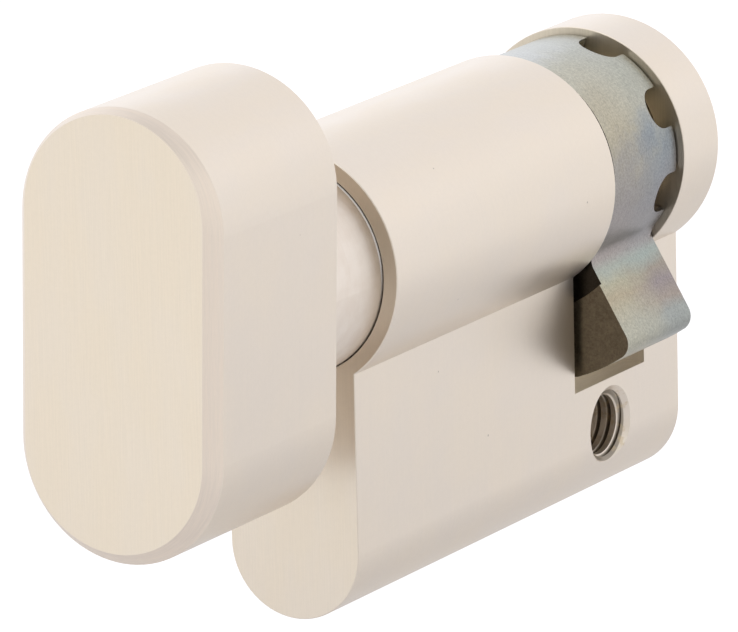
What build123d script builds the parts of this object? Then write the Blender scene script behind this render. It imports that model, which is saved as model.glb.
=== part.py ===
from build123d import *
import os
from math import cos, sin, radians, sqrt

# Profile half cylinder with thumbturn. Millimetres, +Z up.
# Origin: on the spindle axis, in the middle of the cam slot. The knob end is -Y.

# ---- housing ----
head_d = 17.0
stem_w = 10.0
body_h = 33.0
front_len = 35.0
rear_len = 10.0
slot_w = 10.0
cam_tip_r = 15.0
cam_tip_gap = 0.25
edge_break = 0.06
slot_edge_break = 0.05

# ---- fixing hole, M5 ----
screw_major_d = 5.0
screw_minor_d = 4.3
screw_pitch = 0.8
fixing_land = 1.0
fixing_mouth = 0.4
thread_root_w = 0.06
thread_mouth_w = 0.37
thread_phase_x = 0.06

# ---- spindle and its bore ----
plug_d = 13.0
plug_gap = 0.05
plug_recess = 0.3
shaft_d = 9.0
shaft_gap = 0.02
shaft_reach = 10.6
shaft_end_chamfer = 0.5
flat_depth = 0.6
flat_len = 5.0
spindle_break = 0.15

# ---- neck and thrust washer ----
neck_d = 14.7
neck_gap = 0.1
neck_reach = 6.4
counterbore_depth = 1.5
washer_t = 0.3
washer_wall = 0.7
washer_gap = 0.08
axial_play = 0.04
neck_break = 0.1

# ---- knob ----
knob_w = 15.45
knob_h = 30.8
knob_depth = 15.75
knob_lean = 1.8
bevel_depth = 1.2
bevel_side = 0.92
bevel_top = 0.27
bevel_bottom = 0.95
knob_back_break = 0.25
knob_bore_spare = 0.4

# ---- knob set screw, M4 ----
set_screw_d = 4.0
set_screw_gap = 0.02
set_screw_len = 3.4
set_screw_back = 5.6
set_screw_tip = 0.5
hex_af = 2.0
hex_depth = 1.8
set_hole_chamfer = 0.3

# ---- cam ----
ring_d = 16.0
cam_front = 4.15
cam_rear = 4.8
cam_bore_gap = 0.05
nose_angle = 27.0
nose_front = 4.42
nose_step_r = 10.0
nose_root_half = 2.6
nose_tip_half = 3.05
nose_root_fillet = 1.2
nose_tip_fillet = 1.2
nose_edge = 0.1
ring_edge = 0.12
notch_w = 3.0
notch_depth = 2.45
notch_flare = 0.35
notch_step = 45.0
notch_side_count = 3

# ---- index pin and spring ----
index_pin_d = 2.6
index_flange_d = 3.8
index_flange_t = 0.9
index_bore_gap = 0.05
index_seat_gap = 0.05
index_tip_inset = 0.3
index_tip_chamfer = 0.2
index_floor_r = 1.6
index_guide_d = 1.9
index_guide_len = 0.7
index_notch_no = 2
index_wire_d = 0.35
index_coil_d = 2.75
index_turns = 6.0

# ---- retaining clip ----
clip_t = 0.7
clip_groove_depth = 0.8
clip_wall = 2.05
clip_play = 0.04
clip_opening = 100.0
clip_end_round = 0.4

# ---- friction pin, spring and chamber plug ----
chamber_d = 3.0
chamber_inset = 11.0
friction_pin_gap = 0.05
friction_pin_len = 5.0
friction_tip_chamfer = 0.3
friction_guide_d = 1.3
friction_guide_len = 1.2
friction_groove_depth = 0.3
friction_groove_play = 0.1
friction_wire_d = 0.4
friction_coil_d = 2.3
friction_turns = 11.0
plug_len = 4.0
plug_inset = 0.22

# ---- o-ring ----
o_ring_cord_d = 1.0
o_ring_squeeze = 0.03
o_ring_inset = 3.6
o_ring_groove_w = 1.3

# ---- derived places ----
head_r = head_d / 2
stem_half = stem_w / 2
body_bottom = head_r - body_h
stem_round_z = body_bottom + stem_half
front_y = -front_len
rear_y = rear_len
slot_half = slot_w / 2
slot_floor = -(cam_tip_r + cam_tip_gap)
plug_r = plug_d / 2
bore_r = plug_r + plug_gap
neck_r = neck_d / 2
counterbore_r = neck_r + neck_gap
counterbore_y = front_y + counterbore_depth
neck_back_y = counterbore_y - washer_t - axial_play
neck_front_y = front_y - neck_reach
fixing_z = slot_floor - fixing_land - screw_major_d / 2
chamber_y = front_y + chamber_inset
chamber_r = chamber_d / 2
plug_end_y = rear_y - plug_recess
knob_back_y = neck_front_y
knob_front_y = knob_back_y - knob_depth
ring_r = ring_d / 2
cam_bore_r = plug_r + cam_bore_gap
nose_polar = nose_angle - 90.0
notch_bottom_y = cam_rear - notch_depth
notch_centre_y = notch_bottom_y + notch_w / 2
index_y = notch_bottom_y + index_seat_gap + index_pin_d / 2
index_polar = nose_polar - notch_step * index_notch_no


def across(y, up_lean=knob_lean):
    """Plane across the axis at y, facing the knob end, its local Y turned by up_lean from +Z."""
    a = radians(up_lean)
    return Plane(origin=(0, y, 0), x_dir=(cos(a), 0, -sin(a)), z_dir=(0, -1, 0))


def outward(y, r, polar):
    """Plane facing outward along a radius, at distance r and height y, its local X along +Y."""
    a = radians(polar)
    return Plane(origin=(r * cos(a), y, r * sin(a)), x_dir=(0, 1, 0), z_dir=(cos(a), 0, sin(a)))


# ---- thread groove of the fixing hole ----
# A trapezoid swept along a helix. Its flanks run on into the hole, past the minor diameter.
thread_depth = (screw_major_d - screw_minor_d) / 2
thread_inset = 0.1
thread_flank = (thread_mouth_w - thread_root_w) / 2 / thread_depth
thread_inner_half = thread_mouth_w / 2 + thread_flank * thread_inset
helix_len = stem_w + 4 * screw_pitch
helix_start = (thread_phase_x - helix_len / 2, 0, fixing_z)
with BuildPart() as thread_groove:
    with BuildLine() as thread_path:
        Helix(screw_pitch, helix_len, screw_minor_d / 2, center=helix_start, direction=(1, 0, 0))
    thread_start = thread_path.line @ 0
    thread_radial = thread_start - Vector(*helix_start)
    with BuildSketch(Plane(origin=thread_start, x_dir=thread_radial, z_dir=thread_path.line % 0)):
        with BuildLine():
            Polyline(
                (-thread_inset, -thread_inner_half),
                (thread_depth, -thread_root_w / 2),
                (thread_depth, thread_root_w / 2),
                (-thread_inset, thread_inner_half),
                close=True,
            )
        make_face()
    sweep(path=thread_path.line, is_frenet=True)

# ---- housing ----
with BuildPart() as housing:
    with BuildSketch(across(front_y, 0.0)):
        Circle(head_r)
        with Locations((0, stem_round_z / 2)):
            Rectangle(stem_w, -stem_round_z)
        with Locations((0, stem_round_z)):
            Circle(stem_half)
    extrude(amount=-(front_len + rear_len))
    end_faces = housing.faces().filter_by(Axis.Y)
    chamfer(end_faces.edges(), length=edge_break)
    # cam slot, right through the head and down into the stem
    with BuildSketch(Plane.XY.offset(slot_floor)):
        Rectangle(2 * head_r + 1, slot_w)
    extrude(amount=head_r - slot_floor + 1, mode=Mode.SUBTRACT)
    # spindle bore and front counterbore
    with BuildSketch(across(front_y, 0.0)):
        Circle(bore_r)
    extrude(amount=-(front_len + rear_len), mode=Mode.SUBTRACT)
    with BuildSketch(across(front_y, 0.0)):
        Circle(counterbore_r)
    extrude(amount=-counterbore_depth, mode=Mode.SUBTRACT)
    # broken outer edges of the head at the slot
    slot_rims = housing.edges().filter_by(GeomType.CIRCLE)
    slot_rims = slot_rims.filter_by(lambda e: abs(e.radius - head_r) < 1e-3)
    slot_rims = slot_rims.filter_by(lambda e: abs(abs(e.center().Y) - slot_half) < 1e-3)
    chamfer(slot_rims, length=slot_edge_break)
    # spring chamber from below into the bore
    with BuildSketch(Plane.XY.offset(body_bottom)):
        with Locations((0, chamber_y)):
            Circle(chamber_r)
    extrude(amount=-body_bottom, mode=Mode.SUBTRACT)
    # fixing hole, its thread groove cut before the bore
    add(thread_groove.part, mode=Mode.SUBTRACT)
    with BuildSketch(Plane.YZ):
        with Locations((0, fixing_z)):
            Circle(screw_minor_d / 2)
    extrude(amount=stem_half, both=True, mode=Mode.SUBTRACT)
    for side in (-1, 1):
        with BuildSketch(Plane.YZ.offset(side * stem_half)):
            with Locations((0, fixing_z)):
                Circle(screw_major_d / 2 + fixing_mouth)
        extrude(amount=-side * (screw_major_d / 2 + fixing_mouth - screw_minor_d / 2), taper=45, mode=Mode.SUBTRACT)
housing.part.label = "housing"

# ---- chamber stack: plug, spring and friction pin below the spindle ----
friction_groove_r = plug_r - friction_groove_depth
friction_pin_r = chamber_r - friction_pin_gap
friction_tip_z = -friction_groove_r
friction_shoulder_z = friction_tip_z - friction_pin_len
chamber_plug_top = body_bottom + plug_inset + plug_len
friction_coil_r = friction_coil_d / 2

with BuildPart() as chamber_plug:
    with BuildSketch(Plane.XY.offset(body_bottom + plug_inset)):
        with Locations((0, chamber_y)):
            Circle(chamber_r)
    extrude(amount=plug_len)
    chamfer(chamber_plug.edges().group_by(Axis.Z)[-1], length=friction_tip_chamfer)
chamber_plug.part.label = "chamber_plug"

with BuildPart() as friction_pin:
    with BuildSketch(Plane.XY.offset(friction_shoulder_z)):
        with Locations((0, chamber_y)):
            Circle(friction_pin_r)
    extrude(amount=friction_pin_len)
    chamfer(friction_pin.edges().group_by(Axis.Z)[-1], length=friction_tip_chamfer)
    with BuildSketch(Plane.XY.offset(friction_shoulder_z)):
        with Locations((0, chamber_y)):
            Circle(friction_guide_d / 2)
    extrude(amount=-friction_guide_len)
friction_pin.part.label = "friction_pin"

with BuildPart() as friction_spring:
    coil_len = friction_shoulder_z - chamber_plug_top - friction_wire_d
    with BuildLine() as coil_path:
        Helix(
            coil_len / friction_turns,
            coil_len,
            friction_coil_r,
            center=(0, chamber_y, chamber_plug_top + friction_wire_d / 2),
        )
    with BuildSketch(Plane(origin=coil_path.line @ 0, z_dir=coil_path.line % 0)):
        Circle(friction_wire_d / 2)
    sweep(path=coil_path.line, is_frenet=True)
friction_spring.part.label = "friction_spring"

# ---- spindle ----
shaft_r = shaft_d / 2
shaft_end_y = neck_front_y - shaft_reach
friction_groove_half = friction_pin_r + friction_groove_play
clip_groove_r = plug_r - clip_groove_depth
clip_front_y = -slot_half + clip_play
clip_groove_front_y = -slot_half
clip_groove_rear_y = clip_front_y + clip_t + clip_play
o_ring_y = neck_back_y + o_ring_inset
o_ring_r = bore_r - o_ring_squeeze - o_ring_cord_d / 2
o_ring_floor_r = o_ring_r - o_ring_cord_d / 2
flat_x = shaft_r - flat_depth
set_screw_y = knob_back_y - set_screw_back
index_bore_r = index_flange_d / 2 + index_bore_gap
index_bore_top_r = plug_r + 1

with BuildPart() as spindle:
    with BuildSketch(Plane.XY):
        with BuildLine():
            Polyline(
                (0, shaft_end_y),
                (shaft_r, shaft_end_y),
                (shaft_r, neck_back_y),
                (plug_r, neck_back_y),
                (plug_r, o_ring_y - o_ring_groove_w / 2),
                (o_ring_floor_r, o_ring_y - o_ring_groove_w / 2),
                (o_ring_floor_r, o_ring_y + o_ring_groove_w / 2),
                (plug_r, o_ring_y + o_ring_groove_w / 2),
                (plug_r, chamber_y - friction_groove_half),
                (friction_groove_r, chamber_y - friction_groove_half),
                (friction_groove_r, chamber_y + friction_groove_half),
                (plug_r, chamber_y + friction_groove_half),
                (plug_r, clip_groove_front_y),
                (clip_groove_r, clip_groove_front_y),
                (clip_groove_r, clip_groove_rear_y),
                (plug_r, clip_groove_rear_y),
                (plug_r, plug_end_y),
                (0, plug_end_y),
                close=True,
            )
        make_face()
    revolve(axis=Axis.Y)
    end_rims = spindle.edges().filter_by(GeomType.CIRCLE)
    chamfer(end_rims.group_by(Axis.Y)[0], length=shaft_end_chamfer)
    chamfer(spindle.edges().filter_by(GeomType.CIRCLE).group_by(Axis.Y)[-1], length=spindle_break)
    # flat for the set screw, on the side turned away from the cam nose
    with BuildSketch(across(set_screw_y - flat_len / 2)):
        with Locations((-shaft_r, 0)):
            Rectangle(2 * flat_depth, shaft_d)
    extrude(amount=-flat_len, mode=Mode.SUBTRACT)
    # radial hole for the index pin
    with BuildSketch(outward(index_y, index_floor_r, index_polar)):
        Circle(index_bore_r)
    extrude(amount=index_bore_top_r - index_floor_r, mode=Mode.SUBTRACT)
spindle.part.label = "spindle"

with BuildPart() as spindle_o_ring:
    with BuildSketch(Plane.XY):
        with Locations((o_ring_r, o_ring_y)):
            Circle(o_ring_cord_d / 2)
    revolve(axis=Axis.Y)
spindle_o_ring.part.label = "spindle_o_ring"

with BuildPart() as retaining_clip:
    with BuildSketch(across(clip_front_y)):
        Circle(clip_groove_r + clip_wall)
        Circle(clip_groove_r + clip_play, mode=Mode.SUBTRACT)
        with BuildLine():
            Polyline(
                (0, 0),
                (head_d * sin(radians(clip_opening / 2)), head_d * cos(radians(clip_opening / 2))),
                (0, 2 * head_d),
                (-head_d * sin(radians(clip_opening / 2)), head_d * cos(radians(clip_opening / 2))),
                close=True,
            )
        make_face(mode=Mode.SUBTRACT)
    extrude(amount=-clip_t)
    fillet(retaining_clip.edges().filter_by(Axis.Y), clip_end_round)
retaining_clip.part.label = "retaining_clip"

# ---- neck sleeve and thrust washer ----
with BuildPart() as neck_sleeve:
    with BuildSketch(across(neck_front_y)):
        Circle(neck_r)
        Circle(shaft_r + shaft_gap, mode=Mode.SUBTRACT)
    extrude(amount=neck_front_y - neck_back_y)
    chamfer(neck_sleeve.edges().group_by(Axis.Y)[-1].sort_by(SortBy.RADIUS)[-1], length=neck_break)
neck_sleeve.part.label = "neck_sleeve"

with BuildPart() as thrust_washer:
    with BuildSketch(across(counterbore_y - washer_t)):
        Circle(bore_r + washer_gap + washer_wall)
        Circle(bore_r + washer_gap, mode=Mode.SUBTRACT)
    extrude(amount=-washer_t)
thrust_washer.part.label = "thrust_washer"

# ---- knob ----
knob_bore_r = shaft_r + shaft_gap
knob_bore_end_y = shaft_end_y - knob_bore_spare
bevel_y = knob_front_y + bevel_depth
set_screw_r = set_screw_d / 2 - set_screw_gap

with BuildPart() as knob:
    with BuildSketch(across(knob_back_y)):
        SlotOverall(knob_h, knob_w, rotation=90)
    extrude(amount=knob_depth - bevel_depth)
    chamfer(knob.faces().sort_by(Axis.Y)[-1].edges(), length=knob_back_break)
    with BuildSketch(across(bevel_y)):
        SlotOverall(knob_h, knob_w, rotation=90)
    with BuildSketch(across(knob_front_y)):
        with Locations((0, (bevel_bottom - bevel_top) / 2)):
            SlotOverall(knob_h - bevel_top - bevel_bottom, knob_w - 2 * bevel_side, rotation=90)
    loft()
    # blind bore for the shaft and tapped hole for the set screw
    with BuildSketch(across(knob_back_y)):
        Circle(knob_bore_r)
    extrude(amount=knob_back_y - knob_bore_end_y, mode=Mode.SUBTRACT)
    with BuildSketch(outward(set_screw_y, 0, 180.0 - knob_lean)):
        Circle(set_screw_d / 2)
    extrude(amount=knob_w, mode=Mode.SUBTRACT)
    set_hole_rims = knob.edges().filter_by(GeomType.CIRCLE)
    set_hole_rims = set_hole_rims.filter_by(lambda e: abs(e.radius - set_screw_d / 2) < 1e-3)
    chamfer(set_hole_rims.sort_by(Axis.X)[0], length=set_hole_chamfer)
knob.part.label = "knob"

with BuildPart() as knob_set_screw:
    with BuildSketch(outward(set_screw_y, flat_x, 180.0 - knob_lean)):
        Circle(set_screw_r)
    extrude(amount=set_screw_len)
    with BuildSketch(outward(set_screw_y, flat_x + set_screw_len, 180.0 - knob_lean)):
        RegularPolygon(hex_af / 2, 6, major_radius=False)
    extrude(amount=-hex_depth, mode=Mode.SUBTRACT)
    tip_rim = knob_set_screw.edges().filter_by(GeomType.CIRCLE).sort_by(Axis.X)
    chamfer(tip_rim[-1], length=set_screw_tip)
knob_set_screw.part.label = "knob_set_screw"

# ---- index pin and spring, in the radial hole of the spindle ----
index_flange_top_r = sqrt(cam_bore_r**2 - (index_flange_d / 2) ** 2) - index_seat_gap
index_tip_r = ring_r - index_tip_inset
index_flange_low_r = index_flange_top_r - index_flange_t
index_coil_r = index_coil_d / 2

with BuildPart() as index_pin:
    with BuildSketch(outward(index_y, index_flange_low_r, index_polar)):
        Circle(index_flange_d / 2)
    extrude(amount=index_flange_t)
    with BuildSketch(outward(index_y, index_flange_top_r, index_polar)):
        Circle(index_pin_d / 2)
    extrude(amount=index_tip_r - index_flange_top_r)
    index_tip = outward(index_y, index_tip_r, index_polar)
    chamfer(index_pin.faces().sort_by(Axis(index_tip.origin, index_tip.z_dir))[-1].edges(), length=index_tip_chamfer)
    with BuildSketch(outward(index_y, index_flange_low_r, index_polar)):
        Circle(index_guide_d / 2)
    extrude(amount=-index_guide_len)
index_pin.part.label = "index_pin"

with BuildPart() as index_spring:
    index_coil_len = index_flange_low_r - index_floor_r - index_wire_d
    index_seat = outward(index_y, index_floor_r + index_wire_d / 2, index_polar)
    with BuildLine() as index_path:
        Helix(
            index_coil_len / index_turns,
            index_coil_len,
            index_coil_r,
            center=tuple(index_seat.origin),
            direction=tuple(index_seat.z_dir),
        )
    with BuildSketch(Plane(origin=index_path.line @ 0, z_dir=index_path.line % 0)):
        Circle(index_wire_d / 2)
    sweep(path=index_path.line, is_frenet=True)
index_spring.part.label = "index_spring"

# ---- cam ----
# The nose is drawn in a frame whose local X runs along its middle line.
nose_a = radians(nose_polar)


def nose_plane(y):
    """Plane across the axis at y, facing the knob end, its local X along the nose."""
    return Plane(origin=(0, y, 0), x_dir=(cos(nose_a), 0, sin(nose_a)), z_dir=(0, -1, 0))


nose_start = cam_bore_r + 0.6
nose_slope = (nose_tip_half - nose_root_half) / (cam_tip_r - ring_r)
nose_start_half = nose_root_half - nose_slope * (ring_r - nose_start)
nose_far = cam_tip_r + 1
nose_far_half = nose_tip_half + nose_slope * (nose_far - cam_tip_r)

with BuildPart() as cam:
    with BuildSketch(nose_plane(-cam_front)):
        Circle(ring_r)
    extrude(amount=-(cam_front + cam_rear))
    chamfer(cam.edges().group_by(Axis.Y)[-1], length=ring_edge)
    # nose, full width beyond the step and narrower in front of the ring
    for face_y, inner_r in ((-cam_front, 0.0), (-nose_front, nose_step_r)):
        with BuildSketch(nose_plane(face_y)) as nose_face:
            with BuildLine():
                Polyline(
                    (nose_start, -nose_start_half),
                    (nose_far, -nose_far_half),
                    (nose_far, nose_far_half),
                    (nose_start, nose_start_half),
                    close=True,
                )
            make_face()
            Circle(cam_tip_r, mode=Mode.INTERSECT)
            fillet(nose_face.vertices().sort_by(Axis((0, 0, 0), (cos(nose_a), 0, sin(nose_a))))[-2:], nose_tip_fillet)
            if inner_r > 0:
                Circle(inner_r, mode=Mode.SUBTRACT)
        extrude(amount=face_y - cam_rear)
    root_lines = cam.edges().filter_by(Axis.Y)
    root_lines = root_lines.filter_by(lambda e: abs(sqrt(e.center().X ** 2 + e.center().Z ** 2) - ring_r) < 0.05)
    fillet(root_lines, nose_root_fillet)
    with BuildSketch(nose_plane(-cam_front)):
        Circle(cam_bore_r)
    extrude(amount=-(cam_front + cam_rear), mode=Mode.SUBTRACT)
    # open notches in the rear edge, on both sides of the nose
    notch_polars = []
    for step in range(1, notch_side_count + 1):
        notch_polars.append(nose_polar + notch_step * step)
        notch_polars.append(nose_polar - notch_step * step)
    for polar in notch_polars:
        with BuildSketch(outward(0, cam_bore_r - 1, polar)):
            with Locations((notch_centre_y, 0)):
                Circle(notch_w / 2)
            with Locations(((notch_centre_y + cam_rear + 1) / 2, 0)):
                Rectangle(cam_rear + 1 - notch_centre_y, notch_w)
            with Locations((cam_rear - notch_flare / 2, 0)):
                Rectangle(notch_flare, notch_w + 2 * notch_flare)
            for side in (-1, 1):
                with Locations((cam_rear - notch_flare, side * (notch_w / 2 + notch_flare))):
                    Circle(notch_flare, mode=Mode.SUBTRACT)
        extrude(amount=ring_r - cam_bore_r + 2, mode=Mode.SUBTRACT)
    # broken rear edge around the end of the nose
    nose_rims = cam.edges().filter_by(lambda e: sqrt(e.center().X ** 2 + e.center().Z ** 2) > nose_step_r + 0.1)
    chamfer(nose_rims.filter_by(lambda e: e.center().Y > cam_rear - 1e-3), length=nose_edge)
cam.part.label = "cam"

# ---- export ----
os.makedirs("parts", exist_ok=True)
export_step(housing.part, "parts/housing.step")
export_step(chamber_plug.part, "parts/chamber_plug.step")
export_step(friction_pin.part, "parts/friction_pin.step")
export_step(friction_spring.part, "parts/friction_spring.step")
export_step(spindle.part, "parts/spindle.step")
export_step(spindle_o_ring.part, "parts/spindle_o_ring.step")
export_step(retaining_clip.part, "parts/retaining_clip.step")
export_step(neck_sleeve.part, "parts/neck_sleeve.step")
export_step(thrust_washer.part, "parts/thrust_washer.step")
export_step(knob.part, "parts/knob.step")
export_step(knob_set_screw.part, "parts/knob_set_screw.step")
export_step(index_pin.part, "parts/index_pin.step")
export_step(index_spring.part, "parts/index_spring.step")
export_step(cam.part, "parts/cam.step")
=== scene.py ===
import math

import bpy
from mathutils import Matrix, Vector

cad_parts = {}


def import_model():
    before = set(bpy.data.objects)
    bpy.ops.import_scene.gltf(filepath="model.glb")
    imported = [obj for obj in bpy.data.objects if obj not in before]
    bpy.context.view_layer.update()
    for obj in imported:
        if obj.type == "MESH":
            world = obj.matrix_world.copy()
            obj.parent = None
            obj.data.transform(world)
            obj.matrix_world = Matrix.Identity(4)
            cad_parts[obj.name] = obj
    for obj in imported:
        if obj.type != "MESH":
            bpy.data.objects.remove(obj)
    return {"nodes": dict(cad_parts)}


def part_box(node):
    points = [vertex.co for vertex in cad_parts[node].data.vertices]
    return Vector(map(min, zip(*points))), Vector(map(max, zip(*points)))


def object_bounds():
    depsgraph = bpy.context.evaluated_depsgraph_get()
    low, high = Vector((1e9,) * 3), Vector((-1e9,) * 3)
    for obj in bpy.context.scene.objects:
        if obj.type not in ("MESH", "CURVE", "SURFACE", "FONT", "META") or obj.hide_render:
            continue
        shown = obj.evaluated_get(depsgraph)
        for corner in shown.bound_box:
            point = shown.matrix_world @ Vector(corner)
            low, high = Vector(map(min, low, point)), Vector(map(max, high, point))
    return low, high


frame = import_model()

# Half cylinder with thumbturn. Metres, +Z up; the spindle runs along Y with the knob at -Y.
# Every CAD node keeps its own shape here and gets its finish.

MM = 0.001
cad_low, cad_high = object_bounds()
scene = bpy.context.scene

# ---- camera ----
CAMERA_AZIMUTH = 30.754
CAMERA_ELEVATION = 14.103
CAMERA_ROLL = -1.267
CAMERA_SPOT = Vector((313.707, -551.720, 148.387)) * MM
CAMERA_LENS = 452.80
CAMERA_SENSOR = 36.0

# ---- surroundings ----
FLOOR_DROP = 30.0 * MM
FLOOR_NEAR = 70.0 * MM
FLOOR_SIZE = 6.0
FLOOR_COLOUR = (0.79, 0.79, 0.81)
FLOOR_GLOW_SEEN = 0.35
FLOOR_GLOW_FAR = 0.28
FLOOR_GLOW_REACH = (30.0 * MM, 300.0 * MM)
TENT_FRONT = (1.02, 1.0, 0.96)
TENT_BACK = (1.0, 1.0, 1.04)
# direction, cosine where the patch begins, cosine where it is full, gain in red, green and blue
TENT = (
    ((-0.50, 0.85, 0.10), 0.90, 0.98, (0.26, 0.28, 0.32)),
    ((0.25, 0.83, 0.50), 0.84, 0.97, (0.12, 0.11, 0.10)),
    ((0.20, 0.20, 0.95), 0.60, 0.97, (-0.22, -0.22, -0.22)),
    ((0.36, -0.83, 0.12), 0.70, 0.92, (-0.62, -0.64, -0.65)),
    ((-0.50, -0.83, -0.20), 0.70, 0.97, (0.06, 0.06, 0.05)),
)

# ---- places on the object ----
SLOT_HALF = 5.0 * MM
SLOT_FLOOR = -15.25 * MM
FIXING_Z = -18.75 * MM
FIXING_MOUTH_R = 2.9 * MM
THREAD_R = 2.5 * MM
THREAD_CREST_R = 2.15 * MM
RING_R = 8.0 * MM
NOSE_TIP_R = 15.0 * MM
BEVEL_DEPTH = 1.2 * MM
HEAD_FRONT_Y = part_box("housing")[0].y
KNOB_FRONT_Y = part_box("knob")[0].y
CAM_LOW_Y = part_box("cam")[0].y
CAM_HIGH_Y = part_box("cam")[1].y


class Finish:
    """A procedural material. Every method adds one node and returns its output socket."""

    def __init__(self, name):
        self.material = bpy.data.materials.new(name)
        self.material.use_nodes = True
        self.tree = self.material.node_tree
        self.shader = self.tree.nodes["Principled BSDF"]
        self.place = self.tree.nodes.new("ShaderNodeTexCoord")

    def plug(self, value, socket):
        """Sets a constant on a socket, or links an output to it."""
        if isinstance(value, bpy.types.NodeSocket):
            self.tree.links.new(value, socket)
        elif value is not None:
            socket.default_value = value

    def set(self, **sockets):
        """Sets or links the shader's inputs, with _ for a space in their names."""
        for key, value in sockets.items():
            self.plug(value, self.shader.inputs[key.replace("_", " ")])

    def math(self, operation, a, b=None):
        node = self.tree.nodes.new("ShaderNodeMath")
        node.operation = operation
        for value, socket in zip((a, b), node.inputs):
            self.plug(value, socket)
        return node.outputs[0]

    def axis(self, vector, letter):
        node = self.tree.nodes.new("ShaderNodeSeparateXYZ")
        self.plug(vector, node.inputs[0])
        return node.outputs[letter]

    def combine(self, x, y, z):
        node = self.tree.nodes.new("ShaderNodeCombineXYZ")
        for value, socket in zip((x, y, z), node.inputs):
            self.plug(value, socket)
        return node.outputs[0]

    def stretched(self, per_mm, turn=(0, 0, 0)):
        """Object coordinates scaled to per_mm texture cells to the millimetre on each axis."""
        node = self.tree.nodes.new("ShaderNodeMapping")
        node.inputs["Rotation"].default_value = [math.radians(a) for a in turn]
        node.inputs["Scale"].default_value = [v / MM for v in per_mm]
        self.plug(self.place.outputs["Object"], node.inputs["Vector"])
        return node.outputs[0]

    def noise(self, vector, detail=2.0, roughness=0.5):
        node = self.tree.nodes.new("ShaderNodeTexNoise")
        node.inputs["Scale"].default_value = 1.0
        node.inputs["Detail"].default_value = detail
        node.inputs["Roughness"].default_value = roughness
        self.plug(vector, node.inputs["Vector"])
        return node.outputs[0]

    def cells(self, vector):
        node = self.tree.nodes.new("ShaderNodeTexVoronoi")
        node.inputs["Scale"].default_value = 1.0
        self.plug(vector, node.inputs["Vector"])
        return node.outputs["Distance"]

    def between(self, value, low, high, to_low=0.0, to_high=1.0):
        """Maps value from low..high to to_low..to_high, smoothly and without running over."""
        node = self.tree.nodes.new("ShaderNodeMapRange")
        node.interpolation_type = "SMOOTHSTEP"
        for key, number in (("From Min", low), ("From Max", high), ("To Min", to_low), ("To Max", to_high)):
            node.inputs[key].default_value = number
        self.plug(value, node.inputs["Value"])
        return node.outputs["Result"]

    def ramp(self, factor, stops):
        """Colours along factor, as (place, colour) pairs."""
        node = self.tree.nodes.new("ShaderNodeValToRGB")
        band = node.color_ramp
        for _ in stops[2:]:
            band.elements.new(0.5)
        for element, (place, colour) in zip(band.elements, stops):
            element.position = place
            element.color = (*colour, 1.0)
        self.plug(factor, node.inputs[0])
        return node.outputs[0]

    def mix(self, factor, a, b, blend="MIX"):
        node = self.tree.nodes.new("ShaderNodeMix")
        node.data_type = "RGBA"
        node.blend_type = blend
        self.plug(factor, node.inputs["Factor"])
        for value, key in ((a, 6), (b, 7)):
            if isinstance(value, tuple):
                value = (*value, 1.0)
            self.plug(value, node.inputs[key])
        return node.outputs[2]

    def bump(self, height, depth, normal=None):
        """Relief of the given depth in metres."""
        node = self.tree.nodes.new("ShaderNodeBump")
        node.inputs["Distance"].default_value = depth
        self.plug(height, node.inputs["Height"])
        self.plug(normal, node.inputs["Normal"])
        return node.outputs[0]

    def edge(self, radius):
        """1 on the object's sharp edges, 0 on its open surfaces."""
        bevel = self.tree.nodes.new("ShaderNodeBevel")
        bevel.samples = 6
        bevel.inputs["Radius"].default_value = radius
        geometry = self.tree.nodes.new("ShaderNodeNewGeometry")
        dot = self.tree.nodes.new("ShaderNodeVectorMath")
        dot.operation = "DOT_PRODUCT"
        self.plug(bevel.outputs[0], dot.inputs[0])
        self.plug(geometry.outputs["Normal"], dot.inputs[1])
        return self.between(self.math("SUBTRACT", 1.0, dot.outputs["Value"]), EDGE_SOFT, EDGE_SHARP)

    def facing(self, letter):
        """How squarely the surface faces along that axis of the object, from -1 to 1."""
        return self.axis(self.place.outputs["Normal"], letter)

    def at(self, letter):
        return self.axis(self.place.outputs["Object"], letter)


# how far a rounded normal leans from the face's own, as one minus the cosine, where the lightened edge (wear
# and painted highlight) begins and is full
EDGE_SOFT = 0.004
EDGE_SHARP = 0.05

NICKEL = (0.800, 0.725, 0.635)
NICKEL_WARM = (0.808, 0.728, 0.625)
NICKEL_WEAR_AND_HIGHLIGHT = (0.84, 0.78, 0.70)
BRASS = (0.62, 0.50, 0.32)
BRASS_DULL = (0.44, 0.37, 0.26)
SPECK = (0.30, 0.26, 0.22)
THREAD_PAINTED_SHADE = (0.20, 0.17, 0.13)
HEAD_PAINTED_SHADE = (0.30, 0.24, 0.16)
GROUND_NICKEL = (0.835, 0.745, 0.65)
CAM_FRONT_SHADE = (0.19, 0.16, 0.115)
CAM_RECESS_SHADE = (0.045, 0.038, 0.03)


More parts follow.
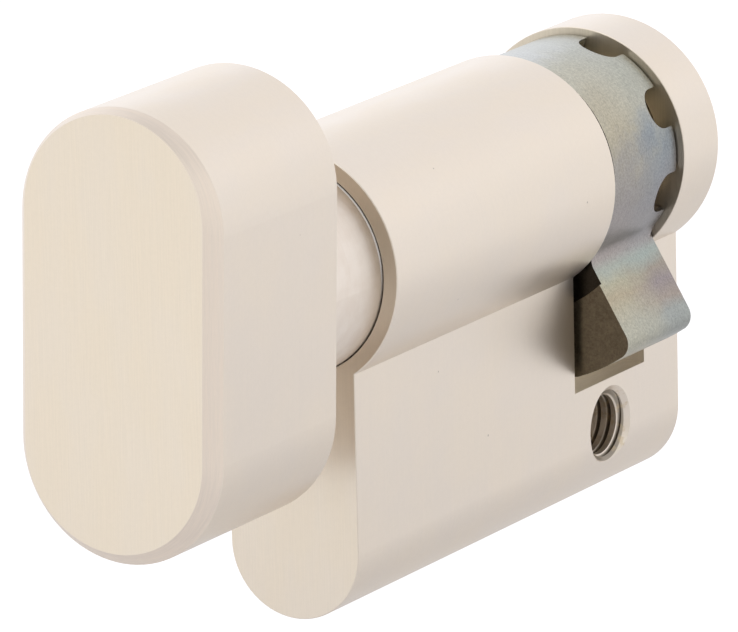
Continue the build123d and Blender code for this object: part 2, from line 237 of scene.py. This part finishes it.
def brushed_nickel(f):
    """Satin nickel plate, brushed up and down the flat ends and around the long surfaces.
    Returns colour, roughness and relief."""
    ends = f.between(f.math("ABSOLUTE", f.facing("Y")), 0.80, 0.95)
    fine_ends = f.noise(f.stretched((9.0, 1.0, 0.22)), detail=4.0, roughness=0.7)
    fine_around = f.noise(f.stretched((0.12, 9.0, 0.12)), detail=4.0, roughness=0.7)
    grain = f.mix(ends, fine_around, fine_ends)
    contrast = f.between(ends, 0.0, 1.0, 0.5, 1.0)
    cloud = f.noise(f.stretched((0.35, 0.10, 0.12)), detail=3.0, roughness=0.55)
    pearl = f.noise(f.stretched((3.1, 3.1, 3.1)), detail=4.0, roughness=0.7)
    colour = f.mix(f.between(cloud, 0.35, 0.65), NICKEL, NICKEL_WARM)
    tone = f.math("ADD", f.math("MULTIPLY", f.between(grain, 0.3, 0.7, -0.022, 0.022), contrast),
                  f.between(pearl, 0.3, 0.7, 0.992, 1.008))
    tone = f.math("ADD", tone, f.between(cloud, 0.3, 0.7, -0.010, 0.010))
    colour = f.mix(1.0, colour, f.combine(tone, tone, tone), "MULTIPLY")
    # a few grains of dust and pits
    grains = f.cells(f.stretched((0.22, 0.22, 0.22)))
    dust = f.between(grains, 0.012, 0.022, 0.6, 0.0)
    colour = f.mix(dust, colour, SPECK)
    roughness = f.math("ADD", f.between(grain, 0.3, 0.7, 0.35, 0.41), f.between(cloud, 0.3, 0.7, -0.02, 0.03))
    relief = f.bump(grain, 0.0010 * MM, normal=f.bump(pearl, 0.0008 * MM))
    return colour, roughness, relief


def housing_finish():
    """Nickel outside, with painted shade on the front round the neck, a duller slot, and painted shade in the
    grooves of the screw hole's thread."""
    f = Finish("housing_nickel")
    colour, roughness, relief = brushed_nickel(f)
    # sharp edges lightened: edge wear and a painted highlight
    wear_and_highlight = f.edge(0.08 * MM)
    colour = f.mix(f.math("MULTIPLY", wear_and_highlight, 0.35), colour, NICKEL_WEAR_AND_HIGHLIGHT)
    # painted shade on the head's front face round the neck, most of all above it, where the knob shades it
    front = f.between(f.facing("Y"), -0.97, -0.90, 1.0, 0.0)
    painted_shade_round_neck = f.math("MULTIPLY", front, f.between(f.at("Z"), -8.5 * MM, 7.0 * MM, 0.0, 0.36))
    colour = f.mix(painted_shade_round_neck, colour, HEAD_PAINTED_SHADE)
    in_slot = f.math("LESS_THAN", f.math("ABSOLUTE", f.at("Y")), SLOT_HALF + 0.02 * MM)
    above_floor = f.math("GREATER_THAN", f.at("Z"), SLOT_FLOOR - 0.05 * MM)
    in_slot = f.math("MULTIPLY", in_slot, above_floor)
    mill = f.noise(f.stretched((9.0, 1.2, 0.3)), detail=2.0)
    cut = f.mix(f.between(mill, 0.3, 0.7), (0.70, 0.635, 0.54), (0.75, 0.68, 0.58))
    colour = f.mix(in_slot, colour, cut)
    # painted shade in the thread's grooves, and brass showing where the tap has rubbed the mouth
    up = f.math("SUBTRACT", f.at("Z"), FIXING_Z)
    from_axis = f.math("SQRT", f.math("ADD", f.math("POWER", f.at("Y"), 2.0), f.math("POWER", up, 2.0)))
    groove_shade = f.between(from_axis, THREAD_CREST_R + 0.04 * MM, THREAD_CREST_R + 0.14 * MM)
    short_of_mouth = f.between(from_axis, THREAD_R + 0.02 * MM, THREAD_R + 0.06 * MM, 1.0, 0.0)
    groove_shade = f.math("MULTIPLY", groove_shade, short_of_mouth)
    colour = f.mix(f.math("MULTIPLY", groove_shade, 0.75), colour, THREAD_PAINTED_SHADE)
    mouth = f.math("LESS_THAN", from_axis, FIXING_MOUTH_R)
    rubbed = f.between(f.noise(f.stretched((1.1, 1.1, 1.1)), detail=4.0, roughness=0.7), 0.52, 0.66)
    colour = f.mix(f.math("MULTIPLY", f.math("MULTIPLY", rubbed, mouth), 0.55), colour, BRASS)
    f.set(Base_Color=colour, Metallic=1.0, Roughness=roughness, Normal=relief)
    return f.material


def knob_finish():
    """Nickel, with the bevel round the front ground by hand, so that streaks run along it."""
    f = Finish("knob_nickel")
    colour, roughness, relief = brushed_nickel(f)
    lean = f.math("ABSOLUTE", f.facing("Y"))
    bevel = f.math("MULTIPLY", f.between(lean, 0.12, 0.25), f.between(lean, 0.80, 0.93, 1.0, 0.0))
    streak = f.noise(f.stretched((0.30, 6.0, 0.30)), detail=4.0, roughness=0.75)
    inner = f.between(f.at("Y"), KNOB_FRONT_Y, KNOB_FRONT_Y + BEVEL_DEPTH, 1.0, 0.0)
    tone = f.math("ADD", f.between(streak, 0.3, 0.7, 0.96, 1.05), f.math("MULTIPLY", inner, -0.02))
    ground = f.mix(1.0, GROUND_NICKEL, f.combine(tone, tone, tone), "MULTIPLY")
    colour = f.mix(bevel, colour, ground)
    # sharp edges lightened: edge wear and a painted highlight
    wear_and_highlight = f.edge(0.10 * MM)
    colour = f.mix(f.math("MULTIPLY", wear_and_highlight, 0.3), colour, NICKEL_WEAR_AND_HIGHLIGHT)
    roughness = f.mix(bevel, roughness, f.between(streak, 0.3, 0.7, 0.34, 0.50))
    relief = f.bump(f.math("MULTIPLY", streak, bevel), 0.004 * MM, normal=relief)
    f.set(Base_Color=colour, Metallic=1.0, Roughness=roughness, Normal=relief)
    return f.material


def neck_finish():
    """Nickel, rougher than the rest, with a painted highlight line on its upper side where the neck enters
    the body.
    """
    f = Finish("neck_nickel")
    turned = f.noise(f.stretched((0.1, 12.0, 0.1)), detail=2.0)
    cloud = f.noise(f.stretched((0.9, 0.7, 0.9)), detail=4.0)
    colour = f.mix(f.between(cloud, 0.3, 0.7), (0.83, 0.75, 0.665), (0.87, 0.80, 0.72))
    # painted highlight: a pale, non-metallic line on the neck's upper side, close to the body's front face
    highlight_line = f.between(f.math("ABSOLUTE", f.math("SUBTRACT", f.at("Y"), HEAD_FRONT_Y - 0.08 * MM)),
                     0.08 * MM, 0.14 * MM, 1.0, 0.0)
    highlight_line = f.math("MULTIPLY", highlight_line, f.between(f.at("Z"), -2.0 * MM, 2.0 * MM))
    colour = f.mix(highlight_line, colour, (0.95, 0.93, 0.91))
    rough = f.math("ADD", f.between(turned, 0.3, 0.7, 0.42, 0.52), f.math("MULTIPLY", highlight_line, -0.2))
    f.set(Base_Color=colour, Metallic=f.math("SUBTRACT", 1.0, highlight_line), Roughness=rough,
          Normal=f.bump(turned, 0.002 * MM))
    return f.material


def brass_finish():
    """Turned brass with a dull bloom."""
    f = Finish("turned_brass")
    turned = f.noise(f.stretched((0.1, 9.0, 0.1)), detail=3.0)
    bloom = f.noise(f.stretched((0.4, 0.4, 0.4)), detail=4.0)
    colour = f.mix(f.between(bloom, 0.35, 0.7), BRASS, BRASS_DULL)
    f.set(Base_Color=colour, Metallic=1.0, Roughness=f.between(turned, 0.3, 0.7, 0.28, 0.42),
          Normal=f.bump(turned, 0.004 * MM))
    return f.material


def zinc_finish():
    """Zinc plate with a thin passivation film. Its tint drifts around the ring and along the nose."""
    f = Finish("cam_zinc")
    drift = f.noise(f.stretched((0.30, 0.30, 0.30)), detail=3.0, roughness=0.6)
    swing = f.between(drift, 0.25, 0.75, -0.05, 0.05)
    around = f.math("DIVIDE", f.math("ARCTAN2", f.at("X"), f.at("Z")), math.pi)
    around = f.math("ADD", around, swing)
    ring_front = f.ramp(around, (
        (0.02, (0.55, 0.56, 0.54)),
        (0.14, (0.52, 0.51, 0.43)),
        (0.36, (0.46, 0.42, 0.32)),
        (0.50, (0.36, 0.34, 0.31)),
        (0.62, (0.36, 0.335, 0.325)),
        (0.80, (0.40, 0.355, 0.33)),
    ))
    ring_rear = f.ramp(around, (
        (0.02, (0.50, 0.51, 0.47)),
        (0.20, (0.46, 0.47, 0.41)),
        (0.33, (0.44, 0.44, 0.38)),
        (0.45, (0.29, 0.32, 0.34)),
        (0.60, (0.32, 0.325, 0.34)),
        (0.80, (0.37, 0.345, 0.33)),
    ))
    wavering_y = f.math("ADD", f.at("Y"), f.math("MULTIPLY", swing, 20.0 * MM))
    along = f.between(wavering_y, CAM_LOW_Y * 0.6, CAM_HIGH_Y * 0.6)
    ring = f.mix(along, ring_front, ring_rear)
    out = f.math("SQRT", f.math("ADD", f.math("POWER", f.at("X"), 2.0), f.math("POWER", f.at("Z"), 2.0)))
    reach = f.math("ADD", f.between(out, RING_R, NOSE_TIP_R), swing)
    nose_front = f.ramp(reach, (
        (0.08, (0.40, 0.43, 0.38)),
        (0.25, (0.45, 0.43, 0.32)),
        (0.45, (0.45, 0.39, 0.28)),
        (0.65, (0.46, 0.43, 0.33)),
        (0.90, (0.46, 0.45, 0.37)),
    ))
    nose_rear = f.ramp(reach, (
        (0.08, (0.36, 0.41, 0.38)),
        (0.28, (0.35, 0.31, 0.26)),
        (0.50, (0.31, 0.27, 0.27)),
        (0.72, (0.36, 0.31, 0.27)),
        (0.90, (0.35, 0.37, 0.35)),
    ))
    nose = f.mix(along, nose_front, nose_rear)
    colour = f.mix(f.between(out, RING_R + 0.3 * MM, RING_R + 1.3 * MM), ring, nose)
    # painted shade on the front faces, darkest on the ring, which lies behind the nose's front
    front_shade = f.between(f.facing("Y"), -0.90, -0.60, 1.0, 0.0)
    colour = f.mix(front_shade, colour, CAM_FRONT_SHADE)
    # painted shade, near black, on front faces that lie recessed behind the nose's front
    recess_shade = f.between(f.at("Y"), CAM_LOW_Y + 0.10 * MM, CAM_LOW_Y + 0.20 * MM)
    colour = f.mix(f.math("MULTIPLY", front_shade, recess_shade), colour, CAM_RECESS_SHADE)
    speck = f.noise(f.stretched((6.0, 6.0, 6.0)), detail=5.0, roughness=0.8)
    scratch = f.noise(f.stretched((1.2, 12.0, 1.2), (0, 0, 35)), detail=3.0, roughness=0.7)
    tone = f.math("ADD", f.between(speck, 0.3, 0.7, 0.74, 1.20), f.between(scratch, 0.3, 0.7, -0.07, 0.07))
    colour = f.mix(1.0, colour, f.combine(tone, tone, tone), "MULTIPLY")
    f.set(Base_Color=colour, Metallic=1.0, Roughness=f.between(speck, 0.3, 0.7, 0.30, 0.44),
          Normal=f.bump(speck, 0.005 * MM, normal=f.bump(scratch, 0.003 * MM)))
    return f.material


def steel_finish(name, colour_dark, colour_light, rough):
    """Ground or drawn steel."""
    f = Finish(name)
    drawn = f.noise(f.stretched((7.0, 7.0, 7.0)), detail=3.0)
    f.set(Base_Color=f.mix(f.between(drawn, 0.3, 0.7), colour_dark, colour_light), Metallic=1.0,
          Roughness=f.between(drawn, 0.3, 0.7, rough, rough + 0.12), Normal=f.bump(drawn, 0.003 * MM))
    return f.material


def soft_finish(name, colour_dark, colour_light, rough):
    """Moulded rubber or polymer."""
    f = Finish(name)
    skin = f.noise(f.stretched((4.0, 4.0, 4.0)), detail=4.0)
    f.set(Base_Color=f.mix(f.between(skin, 0.3, 0.7), colour_dark, colour_light),
          Roughness=f.between(skin, 0.3, 0.7, rough, rough + 0.15), Normal=f.bump(skin, 0.006 * MM))
    return f.material


def dress(node, material):
    piece = frame["nodes"][node]
    piece.data.materials.clear()
    piece.data.materials.append(material)
    for polygon in piece.data.polygons:
        polygon.material_index = 0


brass = brass_finish()
hard_steel = steel_finish("ground_steel", (0.30, 0.30, 0.31), (0.44, 0.44, 0.45), 0.22)
spring_steel = steel_finish("spring_steel", (0.24, 0.24, 0.26), (0.38, 0.38, 0.40), 0.28)
dress("housing", housing_finish())
dress("knob", knob_finish())
dress("neck_sleeve", neck_finish())
dress("cam", zinc_finish())
for node in ("spindle", "chamber_plug", "friction_pin"):
    dress(node, brass)
for node in ("knob_set_screw", "index_pin"):
    dress(node, hard_steel)
for node in ("retaining_clip", "index_spring", "friction_spring"):
    dress(node, spring_steel)
polymer = soft_finish("slip_polymer", (0.05, 0.05, 0.045), (0.09, 0.085, 0.08), 0.45)
dress("thrust_washer", polymer)
rubber = soft_finish("seal_rubber", (0.012, 0.012, 0.012), (0.03, 0.03, 0.03), 0.5)
dress("spindle_o_ring", rubber)


# ---- camera ----
def aim(azimuth, elevation, roll):
    """Rotation of a camera that looks along +Y turned left by azimuth, down by elevation, and rolled."""
    a, e, r = (math.radians(v) for v in (azimuth, elevation, roll))
    forward = Vector((-math.sin(a) * math.cos(e), math.cos(a) * math.cos(e), -math.sin(e)))
    level = Vector((math.cos(a), math.sin(a), 0.0))
    upright = level.cross(forward)
    right = level * math.cos(r) + upright * math.sin(r)
    return Matrix((right, right.cross(forward), -forward)).transposed()


camera = bpy.data.objects.new("camera", bpy.data.cameras.new("camera"))
scene.collection.objects.link(camera)
camera.data.lens = CAMERA_LENS
camera.data.sensor_width = CAMERA_SENSOR
camera.data.clip_start = 0.01
camera.data.clip_end = 20.0
turn = aim(CAMERA_AZIMUTH, CAMERA_ELEVATION, CAMERA_ROLL)
camera.matrix_world = Matrix.Translation(CAMERA_SPOT) @ turn.to_4x4()
scene.camera = camera


# ---- floor, world and lamps ----
def floor():
    """A pale table well below the object. It shows white to the camera and keeps its shadow. In reflections
    it glows brighter away from the object, a painted light standing in for the backdrop's light falling on
    it."""
    half = FLOOR_SIZE / 2
    mesh = bpy.data.meshes.new("floor")
    z = cad_low.z - FLOOR_DROP
    near = cad_low.y - FLOOR_NEAR
    corners = [(-half, near, z), (half, near, z), (half, half, z), (-half, half, z)]
    mesh.from_pydata(corners, [], [(0, 1, 2, 3)])
    obj = bpy.data.objects.new("floor", mesh)
    scene.collection.objects.link(obj)
    f = Finish("floor")
    rays = f.tree.nodes.new("ShaderNodeLightPath")
    reach = f.tree.nodes.new("ShaderNodeVectorMath")
    reach.operation = "LENGTH"
    f.plug(f.place.outputs["Object"], reach.inputs[0])
    far = f.between(reach.outputs["Value"], *FLOOR_GLOW_REACH, 0.0, FLOOR_GLOW_FAR)
    glow = f.math("ADD", f.math("MULTIPLY", rays.outputs["Is Camera Ray"], FLOOR_GLOW_SEEN),
                  f.math("MULTIPLY", rays.outputs["Is Glossy Ray"], far))
    f.set(Base_Color=(*FLOOR_COLOUR, 1.0), Roughness=0.9, Specular_IOR_Level=0.0,
          Emission_Color=(1, 1, 1, 1), Emission_Strength=glow)
    mesh.materials.append(f.material)


def world():
    """White to the camera. To everything else a soft tent, warmer in front, with the patches in TENT."""
    sky = bpy.data.worlds.new("tent")
    scene.world = sky
    sky.use_nodes = True
    tree = sky.node_tree
    link = tree.links.new
    place = tree.nodes.new("ShaderNodeTexCoord").outputs["Generated"]
    split = tree.nodes.new("ShaderNodeSeparateXYZ")
    link(place, split.inputs[0])
    depth = tree.nodes.new("ShaderNodeMapRange")
    depth.inputs["From Min"].default_value = -1.0
    link(split.outputs["Y"], depth.inputs["Value"])
    base = tree.nodes.new("ShaderNodeMix")
    base.data_type = "RGBA"
    base.inputs[6].default_value = (*TENT_FRONT, 1.0)
    base.inputs[7].default_value = (*TENT_BACK, 1.0)
    link(depth.outputs["Result"], base.inputs["Factor"])
    light = base.outputs[2]
    for towards, far, near, gain in TENT:
        dot = tree.nodes.new("ShaderNodeVectorMath")
        dot.operation = "DOT_PRODUCT"
        dot.inputs[1].default_value = Vector(towards).normalized()
        link(place, dot.inputs[0])
        patch = tree.nodes.new("ShaderNodeMapRange")
        patch.interpolation_type = "SMOOTHSTEP"
        patch.inputs["From Min"].default_value = far
        patch.inputs["From Max"].default_value = near
        link(dot.outputs["Value"], patch.inputs["Value"])
        added = tree.nodes.new("ShaderNodeVectorMath")
        added.operation = "MULTIPLY_ADD"
        link(patch.outputs["Result"], added.inputs[0])
        added.inputs[1].default_value = gain
        link(light, added.inputs[2])
        light = added.outputs["Vector"]
    rays = tree.nodes.new("ShaderNodeLightPath")
    seen = tree.nodes.new("ShaderNodeMix")
    seen.data_type = "RGBA"
    seen.inputs[7].default_value = (1, 1, 1, 1)
    link(rays.outputs["Is Camera Ray"], seen.inputs["Factor"])
    link(light, seen.inputs[6])
    link(seen.outputs[2], tree.nodes["Background"].inputs["Color"])
    tree.nodes["Background"].inputs["Strength"].default_value = 1.0


def lamp(name, spot, target, size, power):
    data = bpy.data.lights.new(name, "AREA")
    data.shape = "RECTANGLE"
    data.size, data.size_y = size
    data.energy = power
    obj = bpy.data.objects.new(name, data)
    scene.collection.objects.link(obj)
    obj.location = spot
    obj.rotation_mode = "QUATERNION"
    obj.rotation_quaternion = (Vector(target) - Vector(spot)).to_track_quat("-Z", "Y")


floor()
world()
centre = (cad_low + cad_high) / 2
lamp("key", (-0.20, -0.35, 0.55), centre, (0.6, 0.6), 0.5)

scene.view_settings.view_transform = "Standard"
